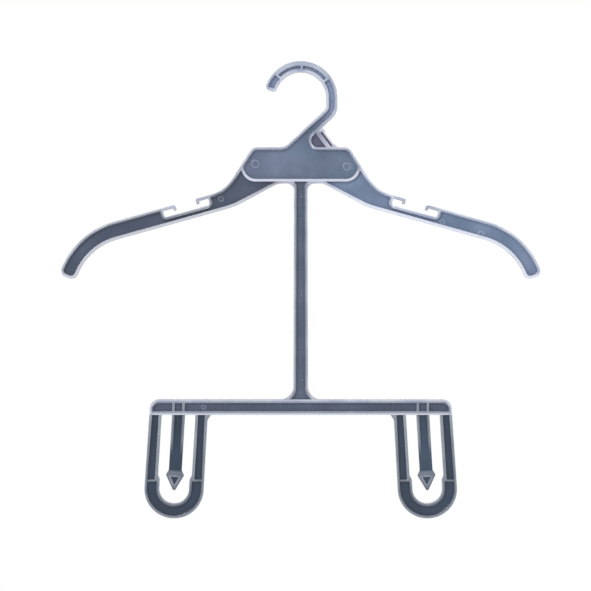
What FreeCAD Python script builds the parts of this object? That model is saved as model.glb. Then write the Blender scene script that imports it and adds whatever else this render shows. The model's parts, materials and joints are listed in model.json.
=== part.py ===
import FreeCAD, Part
import math
import os
from collections import namedtuple

import Sketcher

# A one-piece plastic set hanger: hook, hub, two arms with strap notches, a centre post and a bar
# that carries two looped garment clips.
#
# Frame: +X to the right as the front is faced, +Z up, front face towards -Y.  The origin is the
# centre of the rail inside the hook, on the middle plane of the moulding.  Millimetres and degrees.

SIZES = {
    # section of the moulding
    "rim_depth": 6.0,
    "web": 1.6,
    "rim": 2.2,
    "bar_rim": 2.8,
    "rib": 1.7,
    "lap": 0.5,
    # hook
    "hook_band": 8.3,
    "hook_line": 23.3,
    "tip_angle": 158.0,
    "tip_straight": 3.4,
    "tip_corner": 2.8,
    "neck_angle": 43.0,
    "neck_drop": 31.6,
    "neck_bend": 9.2,
    "neck_split": 6.7,
    "crown_groove": 2.2,
    "crown_shift": 0.55,
    "tip_groove": 4.4,
    "tip_cell": 161.0,
    "tip_rib": 136.5,
    "crown_rib": 88.0,
    "front_rib": 35.0,
    # hub
    "hub_top": 37.1,
    "hub_bottom": 62.9,
    "hub_half": 44.7,
    "shoulder_half": 36.1,
    "side_angle": 57.5,
    "shoulder": 7.0,
    "hub_corner": 11.0,
    "web_corner": 8.5,
    "web_corner_lap": 1.2,
    "neck_fillet": 10.0,
    "notch_fillet": 5.0,
    # size-clip lug
    "lug_top": 15.8,
    "lug_slope": 53.0,
    "lug_wall": 1.9,
    "lug_slot": 1.1,
    "lug_rib": 2.7,
    "lug_bump": 0.8,
    "lug_toe": 1.0,
    # arms
    "arm_slope": 15.6,
    "arm_height": 13.4,
    "arm_start_x": 56.85,
    "arm_start_drop": 69.66,
    "arm_sweep": 29.2,
    "arm_straight": 86.3,
    "droop_outer": 59.5,
    "droop_inner": 44.6,
    "droop_slope": 67.5,
    "tip_width": 12.7,
    "tip_reach": 5.2,
    "tip_round": 5.2,
    "under_slope": 28.1,
    "under_x": 49.7,
    "under_sweep": 53.0,
    # strap notch
    "notch_start": 13.5,
    "notch_end": 48.8,
    "notch_depth": 7.2,
    "notch_corner": 1.9,
    "strap_hook": 2.2,
    "strap_lip": 4.2,
    "inner_reach": 9.5,
    "outer_reach": 10.2,
    "inner_nose": 1.2,
    "outer_nose": 2.1,
    # centre post
    "arch_top": 64.1,
    "arch_split": 12.4,
    "arch_sweep": 12.0,
    "post_top_half": 5.05,
    "post_foot_half": 5.5,
    "post_fillet": 5.5,
    "post_splay": 60.0,
    "foot_fillet": 9.5,
    "foot_slope": 25.0,
    "foot_rise": 3.6,
    # crossbar
    "bar_top": 225.8,
    "bar_bottom": 237.6,
    "bar_corner": 7.0,
    # clip loops
    "clip_x": 91.5,
    "clip_tilt": 3.5,
    "loop_half": 21.8,
    "loop_bore": 12.7,
    "loop_centre": 55.2,
    "bow_outer": 22.3,
    "bow_round": 21.95,
    "bow_inner": 11.2,
    "tooth_start": 45.2,
    "tooth_end": 48.5,
    "tooth_round": 0.6,
    "loop_rib": 49.2,
    "gusset": 3.0,
    "gusset_width": 2.4,
    "gusset_drop": 2.7,
    # clip prongs
    "pivot_drop": 3.55,
    "root_radius": 2.95,
    "prong_half": 4.85,
    "blade": 2.0,
    "trough_top": 2.2,
    "rim_fade": 28.0,
    "head_start": 37.9,
    "head_wide": 41.6,
    "head_end": 52.9,
    "head_half": 6.8,
    "nose_half": 0.85,
    "head_depth": 4.4,
    "recess": 1.2,
    "recess_half": 2.9,
    "recess_top": 42.9,
    "recess_point": 48.5,
}

Corner = namedtuple("Corner", "x z radius text")

doc = FreeCAD.newDocument("set_hanger")
sheet = doc.addObject("Spreadsheet::Sheet", "Sizes")
for row, (alias, number) in enumerate(SIZES.items(), start=1):
    sheet.set(f"A{row}", alias)
    sheet.set(f"B{row}", str(number))
    sheet.setAlias(f"B{row}", alias)
doc.recompute()


def size(alias):
    """The value of a named cell."""
    return float(sheet.get(alias))


def corner(x, z, radius=None):
    """A corner of an outline, rounded by the named radius or left sharp."""
    if radius is None:
        return Corner(x, z, 0.0, "")
    return Corner(x, z, size(radius), f"Sizes.{radius}")


def flipped(corners, side):
    """The same outline on the right (+1) or the left (-1)."""
    return [point._replace(x=side * point.x) for point in corners]


def headings(corners):
    """The unit direction of each edge, from its own corner to the next."""
    found = []
    for here, after in zip(corners, corners[1:] + corners[:1]):
        length = math.hypot(after.x - here.x, after.z - here.z)
        found.append(((after.x - here.x) / length, (after.z - here.z) / length))
    return found


def winding(corners):
    """+1 for an outline that runs anticlockwise, -1 for a clockwise one."""
    pairs = zip(corners, corners[1:] + corners[:1])
    return math.copysign(1, sum(a.x * b.z - b.x * a.z for a, b in pairs))


def inset(corners, amounts):
    """The outline with each edge moved inwards; a name starting with '-' moves it outwards."""
    ways = headings(corners)
    turn = winding(corners)
    moves = [-size(name[1:]) if name.startswith("-") else size(name) for name in amounts]
    moved = []
    for i, point in enumerate(corners):
        (ax, az), (bx, bz) = ways[i - 1], ways[i]
        da, db = moves[i - 1], moves[i]
        p = (point.x - turn * az * da, point.z + turn * ax * da)
        q = (point.x - turn * bz * db, point.z + turn * bx * db)
        cross = ax * bz - az * bx
        along = ((q[0] - p[0]) * bz - (q[1] - p[1]) * bx) / cross
        x, z = p[0] + along * ax, p[1] + along * az
        if not point.radius:
            moved.append(Corner(x, z, 0.0, ""))
            continue
        sign = "-" if cross * turn > 0 else "+"
        if db < 0:
            sign = "+" if sign == "-" else "-"
        radius = point.radius + (abs(db) if sign == "+" else -abs(db))
        text = f"{point.text} {sign} Sizes.{amounts[i].lstrip('-')}"
        moved.append(Corner(x, z, radius, text) if radius > 0.05 else Corner(x, z, 0.0, ""))
    return moved


def origin_plane(body, role):
    return next(item for item in body.Origin.OriginFeatures if item.Role == role)


def draw(sketch, corners):
    """Add one closed outline to a sketch, with an arc at each rounded corner."""
    ways = headings(corners)
    cuts = []
    for i, point in enumerate(corners):
        (ax, az), (bx, bz) = ways[i - 1], ways[i]
        cross = ax * bz - az * bx
        bend = math.atan2(cross, ax * bx + az * bz)
        reach = point.radius * math.tan(abs(bend) / 2)
        start = FreeCAD.Vector(point.x - reach * ax, point.z - reach * az, 0)
        end = FreeCAD.Vector(point.x + reach * bx, point.z + reach * bz, 0)
        side = math.copysign(1, bend)
        middle = start + FreeCAD.Vector(-az, ax, 0) * (side * point.radius)
        cuts.append((start, end, middle, side))
    first = None
    previous = None
    for i, point in enumerate(corners):
        start, end, middle, side = cuts[i]
        if point.radius:
            low, high = (start, end) if side > 0 else (end, start)
            circle = Part.Circle(middle, FreeCAD.Vector(0, 0, 1), point.radius)
            begin = math.atan2(low.y - middle.y, low.x - middle.x)
            finish = math.atan2(high.y - middle.y, high.x - middle.x)
            arc = sketch.addGeometry(Part.ArcOfCircle(circle, begin, finish), False)
            ring = sketch.addConstraint(Sketcher.Constraint("Radius", arc, point.radius))
            sketch.setExpression(f"Constraints[{ring}]", point.text)
            entry, leave = (1, 2) if side > 0 else (2, 1)
            if previous is None:
                first = (arc, entry)
            else:
                sketch.addConstraint(Sketcher.Constraint("Coincident", *previous, arc, entry))
            previous = (arc, leave)
        following = cuts[(i + 1) % len(corners)][0]
        if end.distanceToPoint(following) < 1e-6:
            continue
        run = following - end
        assert run.x * ways[i][0] + run.y * ways[i][1] > 0, f"{sketch.Name}: overlap after {i}"
        line = sketch.addGeometry(Part.LineSegment(end, following), False)
        if previous is None:
            first = (line, 1)
        else:
            sketch.addConstraint(Sketcher.Constraint("Coincident", *previous, line, 1))
        previous = (line, 2)
    sketch.addConstraint(Sketcher.Constraint("Coincident", *previous, *first))


def sketch_on(body, name, role, outlines, lift=None):
    """A sketch on one of the body's own planes; lift is an expression along the plane's normal."""
    sketch = body.newObject("Sketcher::SketchObject", name)
    sketch.AttachmentSupport = [(origin_plane(body, role), "")]
    sketch.MapMode = "FlatFace"
    if lift:
        sketch.setExpression("AttachmentOffset.Base.z", lift)
    for outline in outlines:
        draw(sketch, outline)
    return sketch


def new_body(label):
    body = doc.addObject("PartDesign::Body", label)
    body.Label = label
    return body


def pad(body, name, outlines, thickness, role="XZ_Plane"):
    """Raise outlines evenly to both sides of the middle plane."""
    feature = body.newObject("PartDesign::Pad", name)
    feature.Profile = sketch_on(body, f"{name}_outline", role, outlines)
    feature.SideType = "Symmetric"
    feature.setExpression("Length", thickness)
    body.Tip = feature
    return feature


def pocket_both_faces(body, name, outlines, outer, inner):
    """Sink outlines into the front and, mirrored, into the back, from one depth down to another."""
    doc.recompute()
    before = body.Shape.Volume
    cut = body.newObject("PartDesign::Pocket", name)
    cut.Profile = sketch_on(body, f"{name}_outline", "XZ_Plane", outlines, f"({outer}) / 2")
    cut.setExpression("Length", f"({outer} - {inner}) / 2")
    body.Tip = cut
    doc.recompute()
    assert body.Shape.Volume < before - 0.1, f"{body.Label}: {name} cuts nothing"
    mirror = body.newObject("PartDesign::Mirrored", f"{name}_back")
    mirror.Originals = [cut]
    mirror.MirrorPlane = (origin_plane(body, "XZ_Plane"), [""])
    body.Tip = mirror


def moulding(label, outline, cells):
    """A stretch of the moulding: full depth at its rims, a thin web inside each cell."""
    body = new_body(label)
    pad(body, f"{label}_section", [outline], "Sizes.rim_depth")
    pocket_both_faces(body, f"{label}_web", cells, "Sizes.rim_depth", "Sizes.web")
    return body


def crossing(point_a, angle_a, point_b, angle_b):
    """Where two lines meet, each given by a point and an angle in degrees."""
    ax, az = math.cos(math.radians(angle_a)), math.sin(math.radians(angle_a))
    bx, bz = math.cos(math.radians(angle_b)), math.sin(math.radians(angle_b))
    across = (point_b[0] - point_a[0]) * bz - (point_b[1] - point_a[1]) * bx
    along = across / (ax * bz - az * bx)
    return point_a[0] + along * ax, point_a[1] + along * az


def polar(radius, angle):
    return radius * math.cos(math.radians(angle)), radius * math.sin(math.radians(angle))


# Lines that several sub-parts share

neck_angle = size("neck_angle")
neck_way = (math.cos(math.radians(neck_angle)), math.sin(math.radians(neck_angle)))
hub_top = -size("hub_top")
hub_bottom = -size("hub_bottom")


def neck_point(x, offset):
    """A point of the neck, offset to its lower right from the middle line at the given X."""
    z = -size("neck_drop") + x * math.tan(math.radians(neck_angle))
    return x + offset * neck_way[1], z - offset * neck_way[0]


half_band = size("hook_band") / 2
split_left = neck_point(size("neck_split"), -half_band)
split_right = neck_point(size("neck_split"), half_band)
neck_meets_hub_left = crossing(split_left, neck_angle, (0, hub_top), 0)
neck_meets_hub_right = crossing(split_right, neck_angle, (0, hub_top), 0)
side_top = (size("shoulder_half"), hub_top)
side_foot = crossing(side_top, -size("side_angle"), (size("hub_half"), 0), 90)


def hook_corners(offset):
    """Corners of a line that follows the hook, from its tip to the neck's split."""
    radius = size("hook_line") + offset
    angle = size("tip_angle")
    arc_end = polar(radius, angle)
    crown = crossing(arc_end, angle - 90, (0, radius), 0)
    straight = polar(size("tip_straight"), angle + 90)
    tip = (arc_end[0] + straight[0], arc_end[1] + straight[1])
    bend = crossing((radius, 0), 90, neck_point(0, offset), neck_angle)
    end = neck_point(size("neck_split"), offset)
    return tip, crown, (radius, radius), bend, end


def make_hook():
    outer = hook_corners(half_band)
    inner = hook_corners(-half_band)
    grow = half_band
    big = Corner(0, 0, size("hook_line") + grow, "Sizes.hook_line + Sizes.hook_band / 2")
    small = Corner(0, 0, size("hook_line") - grow, "Sizes.hook_line - Sizes.hook_band / 2")
    wide = Corner(0, 0, size("neck_bend") + grow, "Sizes.neck_bend + Sizes.hook_band / 2")
    tight = Corner(0, 0, size("neck_bend") - grow, "Sizes.neck_bend - Sizes.hook_band / 2")
    outline = [corner(*outer[0], "tip_corner")]
    outline += [big._replace(x=x, z=z) for x, z in outer[1:3]]
    outline += [wide._replace(x=outer[3][0], z=outer[3][1]), corner(*outer[4]), corner(*inner[4])]
    outline += [tight._replace(x=inner[3][0], z=inner[3][1])]
    outline += [small._replace(x=x, z=z) for x, z in inner[2:0:-1]]
    outline += [corner(*inner[0], "tip_corner")]

    def arc_cell(first, last, middle, width):
        """A groove along the crown between two angles."""
        cell = []
        for radius, start, end in ((middle + width / 2, first, last), (middle - width / 2, last, first)):
            a, b = polar(radius, start), polar(radius, end)
            peak = polar(radius / math.cos(math.radians((first - last) / 2)), (first + last) / 2)
            arc = Corner(*peak, radius, str(radius))
            cell += [corner(*a), arc, corner(*b)]
        return cell

    crown = size("hook_line") - size("crown_shift")
    groove = size("crown_groove")
    half_rib = math.degrees(size("rib") / 2 / size("hook_line"))
    tip_rib, crown_rib, front_rib = size("tip_rib"), size("crown_rib"), size("front_rib")
    cells = [
        arc_cell(size("tip_cell"), tip_rib + half_rib, size("hook_line"), size("tip_groove")),
        arc_cell(tip_rib - half_rib, crown_rib + half_rib, crown, groove),
        arc_cell(crown_rib - half_rib, front_rib + half_rib, crown, groove),
    ]
    neck_cell = front_rib - half_rib
    half_web = half_band - size("rim")
    low, high = [], []
    for offset, side in ((half_web, high), (-half_web, low)):
        radius = size("hook_line") + offset
        start = polar(radius, neck_cell)
        peak = polar(radius / math.cos(math.radians(neck_cell / 2)), neck_cell / 2)
        bend = crossing((radius, 0), 90, neck_point(0, offset), neck_angle)
        end = neck_point(size("neck_split") - size("lap"), offset)
        side += [
            corner(*start),
            Corner(*peak, radius, str(radius)),
            Corner(*bend, size("neck_bend") + offset, str(size("neck_bend") + offset)),
            corner(*end),
        ]
    cells.append(high + low[::-1])
    moulding("hook", outline, cells)


def make_hub():
    half = size("hub_half")
    outline = [
        corner(*split_left),
        corner(*split_right),
        corner(*neck_meets_hub_right, "notch_fillet"),
        corner(*side_top, "shoulder"),
        corner(*side_foot),
        corner(half, hub_bottom, "hub_corner"),
        corner(-half, hub_bottom, "hub_corner"),
        corner(-side_foot[0], side_foot[1]),
        corner(-side_top[0], side_top[1], "shoulder"),
        corner(*neck_meets_hub_left, "neck_fillet"),
    ]
    edges = ["-lap"] + ["rim"] * (len(outline) - 1)
    moulding("hub_plate", outline, [inset(outline, edges)])


def make_lug():
    """The slanting strip beside the neck that a size clip snaps over, with its web."""
    strip = size("lug_slope")
    top = neck_point(size("lug_top") - half_band * neck_way[1], half_band)
    foot = crossing(top, -strip, (0, hub_top), 0)
    way = (math.cos(math.radians(strip)), -math.sin(math.radians(strip)))
    bump = size("lug_bump")
    upper_stop, lower_stop = 0.14, 0.90
    stop_slope = 0.10

    def on_strip(along, out):
        """A point a share of the way down the strip and a distance off it."""
        x = top[0] + (foot[0] - top[0]) * along - way[1] * out
        z = top[1] + (foot[1] - top[1]) * along + way[0] * out
        return x, z

    outline = [
        corner(*top),
        corner(*on_strip(upper_stop, bump)),
        corner(*on_strip(upper_stop + stop_slope, -bump / 2)),
        corner(*on_strip(lower_stop - stop_slope, -bump / 2)),
        corner(*on_strip(lower_stop, bump)),
        corner(foot[0] + size("lug_toe"), foot[1]),
        corner(*neck_meets_hub_right, "notch_fillet"),
    ]
    slot_out = -size("lug_wall")
    slot_in = slot_out - size("lug_slot")
    rib_in = slot_in - size("lug_rib")
    slot_end = lower_stop - stop_slope / 2
    slot = [
        corner(*on_strip(upper_stop, slot_out)),
        corner(*on_strip(slot_end, slot_out)),
        corner(*on_strip(slot_end, slot_in)),
        corner(*on_strip(upper_stop, slot_in)),
    ]
    rib_top = crossing(on_strip(0, rib_in), -strip, split_right, neck_angle)
    rib_foot = crossing(on_strip(0, rib_in), -strip, (0, hub_top), 0)
    moon = inset(
        [corner(*rib_top), corner(*rib_foot), corner(*neck_meets_hub_right, "notch_fillet")],
        ["lap", "-lap", "-lap"],
    )
    moulding("size_clip_lug", outline, [slot, moon])


def arm_point(along, up):
    """A point in the arm's own slope: along it from the sweep's corner, and up from its top edge."""
    slope = math.radians(size("arm_slope"))
    x = size("arm_start_x") + along * math.cos(slope) + up * math.sin(slope)
    z = -size("arm_start_drop") - along * math.sin(slope) + up * math.cos(slope)
    return x, z


def make_arm(side, name):
    slope, droop = size("arm_slope"), size("droop_slope")
    height = size("arm_height")
    turn = math.radians(droop - slope)
    reach = size("droop_outer") * math.tan(turn / 2)
    peak = arm_point(size("arm_straight") + reach, 0)
    down = (math.cos(math.radians(droop)), -math.sin(math.radians(droop)))
    run = reach + size("tip_reach")
    end = (peak[0] + run * down[0], peak[1] + run * down[1])
    end_inner = (end[0] + size("tip_width") * down[1], end[1] - size("tip_width") * down[0])
    pit = crossing(end_inner, -droop, arm_point(0, -height), -slope)
    knee = crossing((size("under_x"), 0), 90, arm_point(0, -height), -slope)
    under = -size("under_slope")
    arch = crossing(knee, under, (0, -size("arch_top")), 0)
    hub_meets_under = crossing(knee, under, (0, hub_bottom), 0)
    start, finish, floor = size("notch_start"), size("notch_end"), -size("notch_depth")
    upper = [
        corner(*side_foot),
        corner(*arm_point(0, 0), "arm_sweep"),
        corner(*arm_point(start, 0)),
        corner(*arm_point(start, floor), "notch_corner"),
        corner(*arm_point(finish, floor), "notch_corner"),
        corner(*arm_point(finish, 0)),
        corner(*peak, "droop_outer"),
        corner(*end, "tip_round"),
        corner(*end_inner, "tip_round"),
        corner(*pit, "droop_inner"),
        corner(*knee, "under_sweep"),
    ]
    hub_corner = corner(size("hub_half"), hub_bottom, "hub_corner")
    outline = upper + [
        corner(*arch, "arch_sweep"),
        corner(size("arch_split"), -size("arch_top")),
        corner(size("arch_split"), hub_bottom),
        hub_corner,
    ]
    web_corner = corner(size("hub_half"), hub_bottom, "web_corner")
    cell = upper + [corner(*hub_meets_under), web_corner]
    edges = ["rim"] * len(upper) + ["-web_corner_lap", "-web_corner_lap"]
    moulding(name, flipped(outline, side), [flipped(inset(cell, edges), side)])


def make_strap_hooks(side, word):
    """The two barbed fingers that face each other over an arm's notch."""
    thick, lip = -size("strap_hook"), -size("strap_lip")
    ends = (
        ("inner", size("notch_start"), size("inner_reach"), 1, "inner_nose"),
        ("outer", size("notch_end"), size("outer_reach"), -1, "outer_nose"),
    )
    for which, root, length, way, nose in ends:
        tip = root + way * length
        back = tip + way * thick
        outline = [
            corner(*arm_point(root, 0)),
            corner(*arm_point(tip, 0), nose),
            corner(*arm_point(tip, lip)),
            corner(*arm_point(back, lip)),
            corner(*arm_point(back, thick)),
            corner(*arm_point(root, thick)),
        ]
        body = new_body(f"{word}_{which}_strap_hook")
        pad(body, f"{word}_{which}_finger", [flipped(outline, side)], "Sizes.rim_depth")


def make_post():
    top, foot = size("post_top_half"), size("post_foot_half")
    bar_top = -size("bar_top")
    flare = (foot, bar_top + size("foot_rise"))
    toe = crossing(flare, -size("foot_slope"), (0, bar_top), 0)
    split = size("arch_split")
    right = [
        corner(split, hub_bottom),
        corner(split, -size("arch_top")),
        corner(top, -size("arch_top"), "post_fillet"),
        corner(*flare, "foot_fillet"),
        corner(*toe),
    ]
    rim = size("rim")
    web_right = inset(
        [corner(top, hub_bottom), corner(*flare, "foot_fillet"), corner(*toe), corner(-toe[0], toe[1])],
        ["rim", "rim", "-lap", "-lap"],
    )
    neck = (top - rim, -size("arch_top") - rim)
    mouth = crossing(neck, size("post_splay"), (0, hub_bottom + size("lap")), 0)
    web_flare = corner(web_right[1].x, web_right[1].z, "foot_fillet")
    cell_right = [corner(*mouth), corner(*neck, "post_fillet"), web_flare, web_right[2]]
    outline = right + flipped(right, -1)[::-1]
    cell = cell_right + flipped(cell_right, -1)[::-1]
    moulding("centre_post", outline, [cell])


def make_crossbar():
    top, bottom = -size("bar_top"), -size("bar_bottom")
    end_bottom = size("clip_x") + size("loop_half")
    end_top = crossing((end_bottom, bottom), 90 + size("clip_tilt"), (0, top), 0)[0]
    right = [corner(end_top, top, "bar_corner"), corner(end_bottom, bottom)]
    outline = right + flipped(right, -1)[::-1]
    rim, rib = size("bar_rim"), size("rib")
    outer_rib = size("clip_x") + size("prong_half") - size("rim") / 2
    inner_rib = size("clip_x") - size("prong_half") + size("rim") / 2
    high, low = top - rim, bottom + rim

    def block(left, right_edge):
        return [corner(left, high), corner(right_edge, high), corner(right_edge, low), corner(left, low)]

    end = [corner(outer_rib - rib / 2, top), *right, corner(outer_rib - rib / 2, bottom)]
    end_cell = inset(end, ["bar_rim", "rim", "bar_rim", "rib"])
    small_cell = block(inner_rib + rib / 2, outer_rib - rib / 2)
    cells = [block(-(inner_rib - rib / 2), inner_rib - rib / 2)]
    for side in (1, -1):
        cells += [flipped(end_cell, side), flipped(small_cell, side)]
    moulding("crossbar", outline, cells)


def clip_place(side):
    """The placement of a clip's own frame: origin on the bar's underside, -Z down its length."""
    turn = FreeCAD.Rotation(FreeCAD.Vector(0, 1, 0), -side * size("clip_tilt"))
    return FreeCAD.Placement(FreeCAD.Vector(side * size("clip_x"), 0, -size("bar_bottom")), turn)


def make_loop(side, name):
    lean = math.tan(math.radians(size("clip_tilt")))
    half, bore = size("loop_half"), size("loop_bore")
    deep, bow = size("bow_outer"), size("bow_inner")
    centre = -size("loop_centre")
    rim = size("rim")

    def level(across, down=0.0, radius=None):
        """A corner on a level line below the bar, seen in the tilted frame of the clip."""
        return corner(across, -down - across * lean, radius)

    tooth_start, tooth_end = size("tooth_start"), size("tooth_end")
    outline = [
        level(half),
        corner(deep, centre - deep, "bow_round"),
        corner(-deep, centre - deep, "bow_round"),
        corner(-half, -size("gusset_drop"), "gusset"),
        level(-half - size("gusset_width")),
        level(-bore),
        level(-bore, tooth_start),
        level(-bow, tooth_end, "tooth_round"),
        corner(-bow, centre - bow, "bow_inner"),
        corner(bow, centre - bow, "bow_inner"),
        level(bow, tooth_end, "tooth_round"),
        level(bore, tooth_start),
        level(bore),
    ]
    rib_top = size("loop_rib") - size("rib") / 2
    rib_foot = size("loop_rib") + size("rib") / 2
    past_bar = size("lap") + half * lean
    legs = []
    for way in (1, -1):
        legs.append([
            corner(way * (bore + rim), past_bar),
            corner(way * (half - rim), past_bar),
            level(way * (deep - rim), rib_top),
            level(way * (bore + rim), rib_top),
        ])
    wide = Corner(0, 0, deep - rim, "Sizes.bow_outer - Sizes.rim")
    tight = Corner(0, 0, bow + rim, "Sizes.bow_inner + Sizes.rim")
    u_cell = [
        level(bow + rim, rib_foot),
        level(deep - rim, rib_foot),
        wide._replace(x=deep - rim, z=centre - deep + rim),
        wide._replace(x=rim - deep, z=centre - deep + rim),
        level(rim - deep, rib_foot),
        level(-bow - rim, rib_foot),
        tight._replace(x=-bow - rim, z=centre - bow - rim),
        tight._replace(x=bow + rim, z=centre - bow - rim),
    ]
    cells = [flipped(cell, side) for cell in legs + [u_cell]]
    body = moulding(name, flipped(outline, side), cells)
    body.Placement = clip_place(side)


def make_prong(side, name):
    """A springy tongue: rounded root, rims that fade into a flat blade, and an arrow head."""
    body = new_body(name)
    half, root = size("prong_half"), size("root_radius")
    fade, blade = -size("rim_fade"), size("blade") / 2
    profile = [
        corner(root, 0),
        corner(root, root, "root_radius"),
        corner(-root, root, "root_radius"),
        corner(-root, 0),
        corner(-blade, fade),
        corner(blade, fade),
    ]
    pad(body, f"{name}_rims", [profile], "2 * Sizes.prong_half", "YZ_Plane")
    head_start, head_wide, head_end = -size("head_start"), -size("head_wide"), -size("head_end")
    inside_head = head_start - size("lap")
    tongue = [corner(-half, 0), corner(half, 0), corner(half, inside_head), corner(-half, inside_head)]
    pad(body, f"{name}_blade", [tongue], "Sizes.blade")
    head = [
        corner(-half, head_start),
        corner(half, head_start),
        corner(size("head_half"), head_wide),
        corner(size("nose_half"), head_end),
        corner(-size("nose_half"), head_end),
        corner(-size("head_half"), head_wide),
    ]
    pad(body, f"{name}_head", [head], "Sizes.head_depth")
    inner, trough_top, past_fade = half - size("rim"), size("trough_top"), fade - size("lap")
    trough = [corner(-inner, trough_top), corner(inner, trough_top)]
    trough += [corner(inner, past_fade), corner(-inner, past_fade)]
    pocket_both_faces(body, f"{name}_trough", [trough], "2 * Sizes.root_radius", "Sizes.blade")
    dart = [
        corner(-size("recess_half"), -size("recess_top")),
        corner(size("recess_half"), -size("recess_top")),
        corner(0, -size("recess_point")),
    ]
    recess_floor = "(Sizes.head_depth - 2 * Sizes.recess)"
    pocket_both_faces(body, f"{name}_dart", [dart], "Sizes.head_depth", recess_floor)
    drop = clip_place(side).multVec(FreeCAD.Vector(0, 0, -size("pivot_drop")))
    body.Placement = FreeCAD.Placement(drop, clip_place(side).Rotation)


def main():
    make_hook()
    make_hub()
    make_lug()
    make_post()
    make_crossbar()
    for side, word in ((-1, "left"), (1, "right")):
        make_arm(side, f"{word}_arm")
        make_strap_hooks(side, word)
        make_loop(side, f"{word}_clip_loop")
        make_prong(side, f"{word}_clip_prong")
    doc.recompute()
    for item in doc.Objects:
        states = set(item.State)
        assert not states & {"Invalid", "Error"}, f"{item.Label} failed: {item.State}"
    os.makedirs("parts", exist_ok=True)
    for body in doc.findObjects("PartDesign::Body"):
        shape = body.Shape
        assert not shape.isNull() and shape.isValid() and len(shape.Solids) == 1, body.Label
        shape.exportStep(f"parts/{body.Label}.step")
        print(f"{body.Label}: {shape.Volume:.0f} mm3")


main()
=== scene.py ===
import json
import math

import bmesh
import bpy
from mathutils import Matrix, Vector
from mathutils.bvhtree import BVHTree


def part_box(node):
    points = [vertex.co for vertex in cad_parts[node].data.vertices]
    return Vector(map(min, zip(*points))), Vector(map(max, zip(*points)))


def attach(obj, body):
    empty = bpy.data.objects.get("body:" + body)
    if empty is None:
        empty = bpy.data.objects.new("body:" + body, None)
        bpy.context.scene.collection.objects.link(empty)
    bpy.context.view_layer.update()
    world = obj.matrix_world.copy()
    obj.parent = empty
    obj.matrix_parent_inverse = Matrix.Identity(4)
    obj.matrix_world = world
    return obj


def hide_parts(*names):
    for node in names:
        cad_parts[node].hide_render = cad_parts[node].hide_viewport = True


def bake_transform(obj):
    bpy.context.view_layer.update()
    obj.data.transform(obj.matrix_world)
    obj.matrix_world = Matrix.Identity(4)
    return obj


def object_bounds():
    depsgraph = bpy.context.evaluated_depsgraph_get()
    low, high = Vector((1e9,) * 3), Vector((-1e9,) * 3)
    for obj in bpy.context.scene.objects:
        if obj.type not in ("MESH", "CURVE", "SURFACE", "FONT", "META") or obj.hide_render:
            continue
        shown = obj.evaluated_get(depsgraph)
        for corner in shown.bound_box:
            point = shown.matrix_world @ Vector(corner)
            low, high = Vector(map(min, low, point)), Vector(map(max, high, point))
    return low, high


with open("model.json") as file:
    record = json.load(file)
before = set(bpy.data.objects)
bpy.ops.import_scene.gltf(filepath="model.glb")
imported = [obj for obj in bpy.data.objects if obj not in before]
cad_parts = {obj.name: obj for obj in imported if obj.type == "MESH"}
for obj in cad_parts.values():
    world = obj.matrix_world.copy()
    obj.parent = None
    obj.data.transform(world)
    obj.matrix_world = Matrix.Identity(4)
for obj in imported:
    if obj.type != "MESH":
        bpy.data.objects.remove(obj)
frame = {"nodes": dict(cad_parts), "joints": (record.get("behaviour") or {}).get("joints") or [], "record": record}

# A clear, smoky plastic set hanger.  Every stretch of the moulding is a rounded copy of its CAD
# node: the web between the rims gets fillets and the rims get soft edges.  The two clip prongs are
# lofted and grow out of the crossbar's underside.  Lengths are in metres, or in millimetres times MM.

CAD_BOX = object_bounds()
MM = 0.001

# Moulding
HALF_WEB = 0.8 * MM
RIM_WIDTH = 2.2 * MM
RIM_LEVEL = 1.9 * MM
RIM_FOOT = 0.9 * MM
RIM_SHOULDER = 1.7 * MM
ROUNDING = 0.55 * MM
LUG_ROUNDING = 0.2 * MM
ROUNDING_STEPS = 4
LIGHT_REACH = 60 * MM
CORNER_REACH = 5 * MM
NECK_SEAM = -22.5 * MM
NECK_TOP = -7 * MM
TOUCHING = 0.02 * MM
SAME_PLACE = 0.001 * MM
SAME_PLANE = math.radians(0.4)
REAL_EDGE = math.radians(25)
CREASE = math.radians(46)

# How far out on a rim its painted light starts and is full, as a share of the rim's width;
# the rims are painted paler as if they caught the light
RIM_RAMP = (0.15, 0.7)
LOOP_RAMP = (0.1, 1.25)
RIM_START = 0.3
RIB_PALENESS = 0.8
GLOW_PALENESS = 0.8
LOOP_GLOW = 0.25

# Colours: the web and the rims of each stretch, linear.  The smoky blue is the plastic's own;
# each stretch is a lighter or darker copy of it as light falls there, painted light and shade,
# and the rims' paleness is painted light
RIM = (0.55, 0.58, 0.68)
LEFT_ARM_RIM = (0.46, 0.48, 0.55)
RIGHT_ARM_RIM = (0.61, 0.65, 0.76)
HOOK_RIM = (0.45, 0.49, 0.59)
LOOP_RIM = (0.33, 0.365, 0.42)
SHADES = {
    "hook": ((0.26, 0.31, 0.45), HOOK_RIM),
    "hub_plate": ((0.135, 0.178, 0.262), (0.53, 0.55, 0.66)),
    "size_clip_lug": ((0.11, 0.115, 0.19), (0.68, 0.69, 0.79)),
    "left_arm": ((0.062, 0.082, 0.130), LEFT_ARM_RIM),
    "right_arm": ((0.186, 0.243, 0.370), RIGHT_ARM_RIM),
    "centre_post": ((0.092, 0.121, 0.179), (0.50, 0.52, 0.60)),
    "crossbar": ((0.074, 0.094, 0.151), RIM),
    "left_clip_loop": ((0.022, 0.042, 0.080), LOOP_RIM),
    "right_clip_loop": ((0.026, 0.048, 0.088), LOOP_RIM),
    "left_clip_prong": ((0.016, 0.036, 0.068), LOOP_RIM),
    "right_clip_prong": ((0.036, 0.066, 0.110), LOOP_RIM),
}
FINGER_SHADE = ((0.20, 0.22, 0.30), (0.46, 0.48, 0.58))
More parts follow.
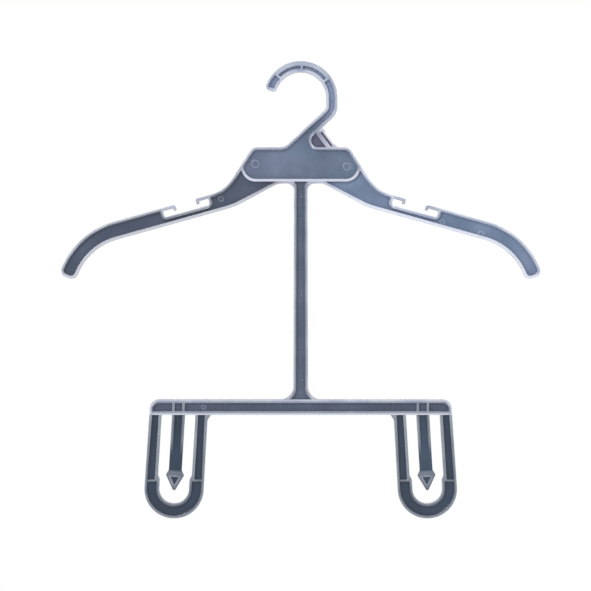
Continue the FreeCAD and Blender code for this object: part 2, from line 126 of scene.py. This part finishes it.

# What the pattern does to those colours, as a factor for each of red, green and blue;
# the clouds and streaks are the plastic's own, the other factors are painted light and shade
COOL_CLOUDS = ((0.76, 0.84, 0.85), (1.08, 1.15, 1.13))
WARM_CLOUDS = ((0.88, 0.85, 0.88), (1.22, 1.16, 1.15))
# Painted shade in the web's corners
CORNER_SHADE = (0.86, 0.87, 0.91)
STREAKS = ((0.86, 0.87, 0.90), (1.10, 1.09, 1.06))
# Painted light where light gathers in a rim
GLOW_SHADE = (1.30, 1.28, 1.24)
# Painted shade on a rim's rounded sides
SIDE_SHADE = (0.62, 0.60, 0.60)

# Noise scales, per metre
CLOUD_SCALE = 38
TINT_SCALE = 17
STREAK_SCALE = 60
SCUFF_SCALE = 420
HAZE_SCALE = 90
RIPPLE_SCALE = 130
GRAIN_SCALE = 1100
PAPER_SCALE = 300


def node_tree(material):
    """A material's nodes, links and main shader."""
    material.use_nodes = True
    nodes = material.node_tree.nodes
    return nodes, material.node_tree.links, nodes["Principled BSDF"]


def noise(nodes, links, place, scale, detail=3.0, stretch=None):
    """A noise texture on the moulding's own coordinates, stretched along one way if asked."""
    texture = nodes.new("ShaderNodeTexNoise")
    texture.inputs["Scale"].default_value = scale
    texture.inputs["Detail"].default_value = detail
    if stretch:
        mapping = nodes.new("ShaderNodeMapping")
        mapping.inputs["Scale"].default_value = stretch
        links.new(place, mapping.inputs["Vector"])
        place = mapping.outputs["Vector"]
    links.new(place, texture.inputs["Vector"])
    return texture.outputs["Fac"]


def remap(nodes, links, value, low, high, to_low=0.0, to_high=1.0):
    """Value moved from one range to another, with soft ends."""
    ramp = nodes.new("ShaderNodeMapRange")
    ramp.interpolation_type = "SMOOTHSTEP"
    ends = {"From Min": low, "From Max": high, "To Min": to_low, "To Max": to_high}
    for socket, number in ends.items():
        ramp.inputs[socket].default_value = number
    links.new(value, ramp.inputs["Value"])
    return ramp.outputs["Result"]


def blend_colours(nodes, links, factor, first, second):
    """Two colours, each a constant or a socket, mixed by a factor."""
    mix = nodes.new("ShaderNodeMix")
    mix.data_type = "RGBA"
    links.new(factor, mix.inputs["Factor"])
    for name, colour in (("A", first), ("B", second)):
        if isinstance(colour, tuple):
            mix.inputs[name].default_value = (*colour, 1)
        else:
            links.new(colour, mix.inputs[name])
    return mix.outputs["Result"]


def scaled(colour, amounts):
    """A colour with each part times its own amount."""
    return tuple(part * amount for part, amount in zip(colour, amounts))


def attribute(nodes, name):
    """One of the values stored on each vertex."""
    node = nodes.new("ShaderNodeAttribute")
    node.attribute_name = name
    return node.outputs


def moulded_colour(nodes, links, place, web, rim):
    """A cloudy web, painted darker in its corners as shade; rims painted pale as lit, paler where light gathers in
    them.
    """
    clouds = remap(nodes, links, noise(nodes, links, place, CLOUD_SCALE, 4), 0.35, 0.68)
    tint = remap(nodes, links, noise(nodes, links, place, TINT_SCALE, 2, (1, 1, 1.7)), 0.38, 0.62)
    cool, warm = (
        blend_colours(nodes, links, clouds, scaled(web, dark), scaled(web, light))
        for dark, light in (COOL_CLOUDS, WARM_CLOUDS)
    )
    web_colour = blend_colours(nodes, links, tint, cool, warm)

    # Painted shade: the web is darker where walls close in round it
    corner = nodes.new("ShaderNodeAmbientOcclusion")
    corner.samples = 8
    corner.inputs["Distance"].default_value = CORNER_REACH
    open_sky = remap(nodes, links, corner.outputs["AO"], 0.35, 0.95)
    web_colour = blend_colours(nodes, links, open_sky, scaled(web, CORNER_SHADE), web_colour)

    # Painted shade: a rim is darker where its rounded sides turn away from the front
    facing = nodes.new("ShaderNodeSeparateXYZ")
    links.new(nodes.new("ShaderNodeTexCoord").outputs["Normal"], facing.inputs[0])
    flatness = nodes.new("ShaderNodeMath")
    flatness.operation = "ABSOLUTE"
    links.new(facing.outputs["Y"], flatness.inputs[0])
    front = remap(nodes, links, flatness.outputs[0], 0.15, 0.98)
    streaks = remap(nodes, links, noise(nodes, links, place, STREAK_SCALE, 3), 0.32, 0.66)
    dark, light = STREAKS
    top = blend_colours(nodes, links, streaks, scaled(rim, dark), scaled(rim, light))
    # Painted light: a rim brightens where light gathers in it
    painted_glow = attribute(nodes, "painted_glow")["Fac"]
    top = blend_colours(nodes, links, painted_glow, top, scaled(rim, GLOW_SHADE))
    rim_colour = blend_colours(nodes, links, front, scaled(rim, SIDE_SHADE), top)
    # Painted light: the rims are paler than the web, as if they caught the light
    return blend_colours(nodes, links, attribute(nodes, "painted_rim_light")["Fac"], web_colour, rim_colour)


def clear_plastic(name, web, rim):
    """Smoky translucent plastic with clouds, flow marks and scuffs, and painted light and shade in its colour."""
    material = bpy.data.materials.new(name + "_plastic")
    nodes, links, shader = node_tree(material)
    place = attribute(nodes, "rest_place")["Vector"]
    colour = moulded_colour(nodes, links, place, web, rim)
    # Up the neck the hub's copy of the plastic, painted lighter or darker, fades into the hook's
    if name == "hook":
        hub_colour = moulded_colour(nodes, links, place, *SHADES["hub_plate"])
        axes = nodes.new("ShaderNodeSeparateXYZ")
        links.new(place, axes.inputs[0])
        up_the_neck = remap(nodes, links, axes.outputs["Z"], NECK_SEAM, NECK_TOP)
        colour = blend_colours(nodes, links, up_the_neck, hub_colour, colour)
    links.new(colour, shader.inputs["Base Color"])

    scratches = noise(nodes, links, place, SCUFF_SCALE, 2, (1, 1, 0.18))
    scuffs = remap(nodes, links, scratches, 0.60, 0.74)
    haze = remap(nodes, links, noise(nodes, links, place, HAZE_SCALE, 4), 0.3, 0.7, 0.16, 0.30)
    rough = nodes.new("ShaderNodeMath")
    rough.operation = "MULTIPLY_ADD"
    rough.inputs[1].default_value = 0.12
    links.new(scuffs, rough.inputs[0])
    links.new(haze, rough.inputs[2])
    links.new(rough.outputs[0], shader.inputs["Roughness"])

    ripple = nodes.new("ShaderNodeBump")
    ripple.inputs["Strength"].default_value = 0.35
    ripple.inputs["Distance"].default_value = 0.25 * MM
    links.new(noise(nodes, links, place, RIPPLE_SCALE, 2), ripple.inputs["Height"])
    grain = nodes.new("ShaderNodeBump")
    grain.inputs["Strength"].default_value = 0.12
    grain.inputs["Distance"].default_value = 0.02 * MM
    links.new(noise(nodes, links, place, GRAIN_SCALE, 2), grain.inputs["Height"])
    links.new(ripple.outputs["Normal"], grain.inputs["Normal"])
    links.new(grain.outputs["Normal"], shader.inputs["Normal"])
    shader.inputs["IOR"].default_value = 1.49
    shader.inputs["Transmission Weight"].default_value = 0.10
    shader.inputs["Coat Weight"].default_value = 0.35
    shader.inputs["Coat Roughness"].default_value = 0.10
    return material


def soft_step(value, low, high):
    """0 below low, 1 above high, and a smooth rise between them."""
    share = min(max((value - low) / (high - low), 0.0), 1.0)
    return share * share * (3 - 2 * share)


def store(mesh, name, values):
    """Keep one number for each vertex, for the material to read."""
    mesh.attributes.new(name, "FLOAT", "POINT").data.foreach_set("value", values)


def finish_piece(name, shape, material, painted_rim_light, painted_glow=lambda place: 0.0):
    """Turn a bmesh into a smooth closed piece with its rest places, painted rim light and painted glow stored."""
    bmesh.ops.recalc_face_normals(shape, faces=shape.faces)
    for face in shape.faces:
        face.smooth = True
    for edge in shape.edges:
        edge.smooth = edge.calc_face_angle(0) < CREASE
    mesh = bpy.data.meshes.new(name)
    shape.to_mesh(mesh)
    shape.free()
    rest = mesh.attributes.new("rest_place", "FLOAT_VECTOR", "POINT")
    rest.data.foreach_set("vector", [number for vertex in mesh.vertices for number in vertex.co])
    store(mesh, "painted_rim_light", [painted_rim_light(vertex.co) for vertex in mesh.vertices])
    store(mesh, "painted_glow", [painted_glow(vertex.co) for vertex in mesh.vertices])
    mesh.materials.append(material)
    piece = bpy.data.objects.new(name, mesh)
    bpy.context.scene.collection.objects.link(piece)
    even = piece.modifiers.new("even_shading", "WEIGHTED_NORMAL")
    even.keep_sharp = True
    return piece


# The fixed stretches of the moulding

FIXED = frame["record"]["behaviour"]["bodies"]["hanger"]
SKINS = {}
for node_name in FIXED:
    data = frame["nodes"][node_name].data
    places = [vertex.co.copy() for vertex in data.vertices]
    faces = [face.vertices for face in data.polygons]
    SKINS[node_name] = (BVHTree.FromPolygons(places, faces), places)


def touches(name, point):
    """Whether a point lies on any other fixed stretch."""
    others = [skin for other, (skin, _) in SKINS.items() if other != name]
    return any(skin.find_nearest(point, TOUCHING)[0] is not None for skin in others)


def split_edges_at(shape, point):
    """Put a corner into each edge that passes through a point."""
    for edge in list(shape.edges):
        start, end = edge.verts
        span = end.co - start.co
        share = (point - start.co).dot(span) / span.length_squared
        margin = TOUCHING / span.length
        if margin < share < 1 - margin and (start.co + share * span - point).length < TOUCHING:
            bmesh.utils.edge_split(edge, start, share)


def with_whole_faces(mesh):
    """A mesh's shape with its flat faces whole again; a ring keeps two short cuts across it."""
    shape = bmesh.new()
    shape.from_mesh(mesh)
    bmesh.ops.remove_doubles(shape, verts=shape.verts, dist=0.1 * TOUCHING)
    seams = [edge for edge in shape.edges if edge.calc_face_angle(1) < SAME_PLANE]
    for edge in sorted(seams, key=lambda seam: seam.calc_length(), reverse=True):
        if edge.is_valid and len(set(edge.link_faces)) == 2:
            bmesh.utils.face_join(list(edge.link_faces))
    return shape


def rounded_copy(name, rounding):
    """A node's shape with soft edges and fillets, left sharp where it meets its neighbours."""
    shape = with_whole_faces(frame["nodes"][name].data)
    own = SKINS[name][0]
    for other, (_, places) in SKINS.items():
        if other == name:
            continue
        for place in places:
            if own.find_nearest(place, TOUCHING)[0] is not None:
                split_edges_at(shape, place)
    soft = []
    for edge in shape.edges:
        middle = (edge.verts[0].co + edge.verts[1].co) / 2
        if edge.calc_face_angle(0) > REAL_EDGE and not touches(name, middle):
            soft.append(edge)
    bmesh.ops.bevel(
        shape, geom=soft, offset=rounding, offset_type="OFFSET", segments=ROUNDING_STEPS, profile=0.5,
        affect="EDGES", loop_slide=False, clamp_overlap=False,
    )
    return shape


def outer_walls():
    """The full-depth walls round the whole moulding, without the faces where stretches meet."""
    places, walls = [], []
    for name in FIXED:
        data = frame["nodes"][name].data
        for face in data.polygons:
            corners = [data.vertices[i].co.copy() for i in face.vertices]
            depths = [place.y for place in corners]
            full_depth = min(depths) < -HALF_WEB and max(depths) > HALF_WEB
            if full_depth and not touches(name, face.center):
                walls.append(list(range(len(places), len(places) + len(corners))))
                places += corners
    return BVHTree.FromPolygons(places, walls)


WALLS = outer_walls()


def rim_paleness(name):
    """Painted light, none on the web; on a rim it grows from its inner edge to the outer wall; a rib is even."""
    low, high = LOOP_RAMP if name.endswith("loop") else RIM_RAMP
    painted_glow = gathers_light(name)

    def paleness(place):
        raised = soft_step(abs(place.y), RIM_FOOT, RIM_SHOULDER)
        _, _, _, distance = WALLS.find_nearest(Vector((place.x, 0, place.z)))
        if distance > 1.1 * RIM_WIDTH:
            return RIB_PALENESS * raised
        outward = soft_step(1 - distance / RIM_WIDTH, low, high)
        lit = max(outward, GLOW_PALENESS * painted_glow(place))
        return raised * (RIM_START + (1 - RIM_START) * lit)

    return paleness


def gathers_light(name):
    """For a stretch, how much painted light a rim glows with: light ends up in it where there is more plastic
    above.
    """
    up = Vector((0, 0, 1))
    skin = SKINS[name][0]
    full = LOOP_GLOW if name.endswith("loop") else 1.0

    def painted_glow(place):
        origin = Vector((place.x, math.copysign(RIM_LEVEL, place.y), place.z))
        for _ in range(4):
            hit, normal, _, distance = skin.ray_cast(origin, up, LIGHT_REACH)
            if hit is None:
                return 0.0
            if normal.z < 0 and distance > RIM_WIDTH:
                fade = soft_step(place.z, NECK_SEAM, NECK_TOP) if name == "hook" else 1
                return full * fade
            origin = hit + up * TOUCHING
        return 0.0

    return painted_glow


for node_name in FIXED:
    web, rim = SHADES.get(node_name, FINGER_SHADE)
    rounding = LUG_ROUNDING if node_name == "size_clip_lug" else ROUNDING
    skin = finish_piece(
        node_name + "_moulding",
        rounded_copy(node_name, rounding),
        clear_plastic(node_name, web, rim),
        rim_paleness(node_name),
        gathers_light(node_name),
    )
    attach(skin, "hanger")
    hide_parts(node_name)


# The clip prongs, in millimetres; lengths along them count down from the pivot

PRONG_HALF = 4.85
RAIL = 2.2
RAIL_FOOT = 1.0
RAIL_SHOULDER = 2.0
ROOT_HALF_DEPTH = 2.95
ROOT_FLOOR = 0.85
BLADE_HALF_DEPTH = 1.0
RAIL_FADE = 28.0
HEAD_START = 37.9
HEAD_WIDE = 41.6
HEAD_END = 52.9
HEAD_HALF = 6.8
HEAD_HALF_DEPTH = 2.2
HEAD_SLOPE = 1.2
NOSE_DROP = 0.8
NOSE_HALF = 0.85
RECESS_TOP = 42.9
RECESS_POINT = 48.5
RECESS_HALF = 2.9
RECESS_POINT_HALF = 0.06
LIP_WIDTH = 0.6
# Painted light on the prong: the pale lip, the grey head and the rails' pale start
LIP_PALENESS = 0.8
HEAD_PALENESS = 0.42
RAIL_START = 0.35
SECTION_FILLET = 0.5
SECTION_EDGE = 0.6


def ramp(value, low, high, start, end):
    """From start at low to end at high in a straight line, level outside them."""
    share = min(max((value - low) / (high - low), 0.0), 1.0)
    return start + (end - start) * share


# Where along a prong its sections stand, close together where the shape changes
ROOT_STATIONS = (-2.6, -1.6, -0.8, 0.0)
BLADE_STATIONS = [1.5 * step for step in range(1, 25)]
HEAD_STATIONS = (
    HEAD_START - 0.01, HEAD_START + 0.4, HEAD_START + HEAD_SLOPE, 40.4,
    HEAD_WIDE - 0.3, HEAD_WIDE + 0.3, 42.6,
    RECESS_TOP - 0.01, RECESS_TOP + 0.5, 44.4, 45.8, 47.2, RECESS_POINT - 0.3, RECESS_POINT + 0.01,
    50.0, 51.5, HEAD_END - HEAD_SLOPE, HEAD_END - 0.5, HEAD_END,
)


def prong_section(down):
    """Half width, half trough width, floor and top of the prong's section, so far below its pivot."""
    if down < HEAD_START:
        fade = ramp(down, 0, RAIL_FADE, ROOT_HALF_DEPTH, BLADE_HALF_DEPTH)
        floor = ramp(down, 0, RAIL_FADE, ROOT_FLOOR, BLADE_HALF_DEPTH)
        return PRONG_HALF, PRONG_HALF - RAIL, min(floor, fade), fade
    if down < HEAD_WIDE:
        half = ramp(down, HEAD_START, HEAD_WIDE, PRONG_HALF, HEAD_HALF)
    else:
        half = ramp(down, HEAD_WIDE, HEAD_END, HEAD_HALF, NOSE_HALF)
    top = ramp(down, HEAD_START, HEAD_START + HEAD_SLOPE, BLADE_HALF_DEPTH, HEAD_HALF_DEPTH)
    nose = HEAD_HALF_DEPTH - NOSE_DROP
    top = min(top, ramp(down, HEAD_END - HEAD_SLOPE, HEAD_END, HEAD_HALF_DEPTH, nose))
    trough = ramp(down, RECESS_TOP, RECESS_POINT, RECESS_HALF, RECESS_POINT_HALF)
    floor = BLADE_HALF_DEPTH if RECESS_TOP <= down <= RECESS_POINT else top
    return half, trough, floor, top


def quarter(centre_x, centre_y, radius, start, steps=3):
    """Points of a quarter round, from one angle in degrees to the next quarter."""
    points = []
    for step in range(steps + 1):
        angle = math.radians(start + 90 * step / steps)
        points.append((centre_x + radius * math.cos(angle), centre_y + radius * math.sin(angle)))
    return points


def quadrant(half, trough, floor, top):
    """The section's outline in one quarter, from the middle of its floor to its side."""
    step = max(top - floor, 0.0)
    fillet = min(SECTION_FILLET, step / 2, trough / 2)
    lip = min(SECTION_FILLET, step / 2)
    outer = min(SECTION_EDGE, top / 2)
    points = [(0.0, floor)]
    points += quarter(trough - fillet, floor + fillet, fillet, -90)
    points += quarter(trough + lip, top - lip, lip, 90)[::-1]
    points += quarter(half - outer, top - outer, outer, 0)[::-1]
    return points


def ring(down):
    """The whole closed section at one station, anticlockwise."""
    upper_right = quadrant(*prong_section(down))
    right = upper_right + [(x, -y) for x, y in reversed(upper_right)]
    left = [(-x, y) for x, y in reversed(right[1:-1])]
    return right + left


def make_prong(word):
    """A prong that grows out of the bar's underside, tilted as its hinge is."""
    joint = next(item for item in frame["joints"] if item["child"] == f"{word}_prong")
    pivot = Vector(joint["pos_m"])
    across = Vector(joint["axis"]).normalized()
    up = across.cross(Vector((0, -1, 0)))
    if up.z < 0:
        up = -up
    depth = Vector((0, -1, 0))
    bar_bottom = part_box("crossbar")[0].z
    root = (pivot.z - bar_bottom) / up.z
    stations = [root / MM, *ROOT_STATIONS, *BLADE_STATIONS, *HEAD_STATIONS]
    shape = bmesh.new()
    rings = []
    for station in stations:
        loop = []
        for x, y in ring(station):
            place = pivot + across * (x * MM) + depth * (y * MM) - up * (station * MM)
            if station == stations[0]:  # cut level with the bar's underside
                place -= up * ((place.z - bar_bottom) / up.z)
            loop.append(shape.verts.new(place))
        rings.append(loop)
    count = len(rings[0])
    for first, second in zip(rings, rings[1:]):
        for i in range(count):
            shape.faces.new((first[i], first[(i + 1) % count], second[(i + 1) % count], second[i]))
    shape.faces.new(rings[0])
    shape.faces.new(rings[-1][::-1])
    bmesh.ops.remove_doubles(shape, verts=shape.verts, dist=SAME_PLACE)
    bmesh.ops.dissolve_degenerate(shape, edges=shape.edges, dist=SAME_PLACE)

    def paleness(place):
        """Painted light: rails that fade out downwards, a grey head and a pale lip round its recess."""
        down = -(place - pivot).dot(up) / MM
        side = abs((place - pivot).dot(across)) / MM
        raised = soft_step(abs(place.y) / MM, RAIL_FOOT, RAIL_SHOULDER)
        half, trough, _, _ = prong_section(max(down, 0.0))
        if down > HEAD_START:
            beside_recess = RECESS_TOP - 1.0 <= down <= RECESS_POINT + 0.5
            on_lip = beside_recess and side < trough + LIP_WIDTH
            return raised * (LIP_PALENESS if on_lip else HEAD_PALENESS)
        outward = soft_step(1 - (half - side) / RAIL, *LOOP_RAMP)
        return raised * (RAIL_START + (1 - RAIL_START) * outward)

    name = f"{word}_clip_prong"
    piece = finish_piece(name + "_moulding", shape, clear_plastic(name, *SHADES[name]), paleness)
    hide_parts(name)
    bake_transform(piece)


for side_word in ("left", "right"):
    make_prong(side_word)


# Small marks of the mould: ejector rings and gate stubs, all on the front of the web

MARK_STEPS = 36
MARK_SINK = 0.3
# Painted light on the marks' raised parts
MARK_PALENESS = 0.28
RING_HEIGHT = 0.18
STUB_HEIGHT = 0.45


def lathe(name, host, x, z, profile, pale_height):
    """A round mark on the front of a web, at x and z; profile holds (radius, height) pairs, in mm."""
    shape = bmesh.new()
    centre = Vector((x * MM, -HALF_WEB, z * MM))
    rows = []
    for radius, height in profile:
        if radius == 0:
            rows.append([shape.verts.new(centre + Vector((0, -height * MM, 0)))])
            continue
        row = []
        for step in range(MARK_STEPS):
            angle = math.tau * step / MARK_STEPS
            spoke = Vector((radius * math.cos(angle), -height, radius * math.sin(angle))) * MM
            row.append(shape.verts.new(centre + spoke))
        rows.append(row)
    for first, second in zip(rows, rows[1:]):
        for i in range(MARK_STEPS):
            corners = [first[i % len(first)], first[(i + 1) % len(first)],
                       second[(i + 1) % len(second)], second[i % len(second)]]
            shape.faces.new(list(dict.fromkeys(corners)))

    def paleness(place):
        """Painted light, on the raised parts only."""
        return MARK_PALENESS * soft_step(-place.y - HALF_WEB, 0.06 * MM, pale_height * MM)

    material = bpy.data.materials[host + "_plastic"]
    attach(finish_piece(name, shape, material, paleness), "hanger")


def ejector_ring(name, host, x, z, radius):
    """A shallow disc with a raised ring, as an ejector pin leaves it."""
    profile = [
        (0, 0.04), (radius - 1.1, 0.04), (radius - 0.8, RING_HEIGHT), (radius - 0.25, RING_HEIGHT),
        (radius, 0.02), (radius, -MARK_SINK), (0, -MARK_SINK),
    ]
    lathe(name, host, x, z, profile, 0.16)


def stub(name, host, x, z, radius):
    """The small dome that a gate or a vent leaves."""
    profile = [
        (0, STUB_HEIGHT), (0.5 * radius, 0.4), (0.85 * radius, 0.22),
        (radius, 0), (radius, -MARK_SINK), (0, -MARK_SINK),
    ]
    lathe(name, host, x, z, profile, 0.3)


ejector_ring("hub_ejector_mark_left", "hub_plate", -34.0, -49.4, 3.2)
ejector_ring("hub_ejector_mark_right", "hub_plate", 34.7, -51.5, 3.2)
ejector_ring("left_arm_ejector_mark", "left_arm", -59.7, -75.8, 2.3)
ejector_ring("right_arm_ejector_mark_inner", "right_arm", 106.1, -92.9, 2.3)
ejector_ring("right_arm_ejector_mark_outer", "right_arm", 135.2, -101.7, 2.3)
ejector_ring("crossbar_ejector_mark", "crossbar", -72.8, -231.8, 2.1)
stub("post_gate_mark", "centre_post", 0.75, -147.8, 0.9)
stub("post_upper_mark", "centre_post", 0.75, -74.3, 0.8)
stub("post_lower_mark", "centre_post", 1.5, -211.5, 0.8)
stub("hook_mark", "hook", 23.2, -2.3, 0.8)


# Studio: white behind the hanger, a little greyer behind the camera, pale floor well below

WHITE_BACKDROP = (1.0, 1.0, 1.0)
GREY_FRONT = (0.72, 0.73, 0.76)
PAPER = ((0.86, 0.86, 0.87), (0.90, 0.90, 0.90))
FLOOR_SIZE = 1.2
FLOOR_GAP = 0.14
CAMERA_DISTANCE = 1.5
CAMERA_X = -0.0039
CAMERA_Z = -0.1481
VIEW_WIDTH = 0.44325

low, high = CAD_BOX
middle = (low + high) / 2
scene = bpy.context.scene
scene.view_settings.view_transform = "Standard"

world = bpy.data.worlds.new("studio")
scene.world = world
world.use_nodes = True
world_nodes, world_links = world.node_tree.nodes, world.node_tree.links
sky = world_nodes.new("ShaderNodeTexCoord")
sky_parts = world_nodes.new("ShaderNodeSeparateXYZ")
world_links.new(sky.outputs["Generated"], sky_parts.inputs[0])
behind = remap(world_nodes, world_links, sky_parts.outputs["Y"], -0.7, 0.3)
sky_colour = blend_colours(world_nodes, world_links, behind, GREY_FRONT, WHITE_BACKDROP)
world_links.new(sky_colour, world_nodes["Background"].inputs["Color"])


def soft_light(name, place, width, power, colour=(1, 1, 1)):
    """A square soft box that faces the middle of the hanger."""
    data = bpy.data.lights.new(name, "AREA")
    data.size = width
    data.energy = power
    data.color = colour
    lamp = bpy.data.objects.new(name, data)
    lamp.location = place
    lamp.rotation_euler = (middle - Vector(place)).to_track_quat("-Z", "Y").to_euler()
    scene.collection.objects.link(lamp)


soft_light("key_light", (-0.55, -0.85, 0.45), 0.5, 5.0)
soft_light("low_fill", (0.35, -0.7, -0.75), 0.6, 2.0, (0.93, 0.96, 1.0))
soft_light("back_light", (0.3, 0.8, 0.35), 0.6, 3.0)

bpy.ops.mesh.primitive_grid_add(
    x_subdivisions=2, y_subdivisions=2, size=FLOOR_SIZE, location=(0, 0, low.z - FLOOR_GAP)
)
floor = bpy.context.object
floor.name = "floor"
floor_material = bpy.data.materials.new("pale_floor")
floor_nodes, floor_links, floor_shader = node_tree(floor_material)
floor_place = floor_nodes.new("ShaderNodeTexCoord").outputs["Object"]
fibres = noise(floor_nodes, floor_links, floor_place, PAPER_SCALE, 4)
floor_colour = blend_colours(floor_nodes, floor_links, fibres, *PAPER)
floor_links.new(floor_colour, floor_shader.inputs["Base Color"])
floor_shader.inputs["Roughness"].default_value = 0.8
floor.data.materials.append(floor_material)

camera = bpy.data.objects.new("camera", bpy.data.cameras.new("camera"))
scene.collection.objects.link(camera)
camera.location = (CAMERA_X, -CAMERA_DISTANCE, CAMERA_Z)
camera.rotation_euler = (math.radians(90), 0, 0)
camera.data.lens = camera.data.sensor_width * CAMERA_DISTANCE / VIEW_WIDTH
scene.camera = camera
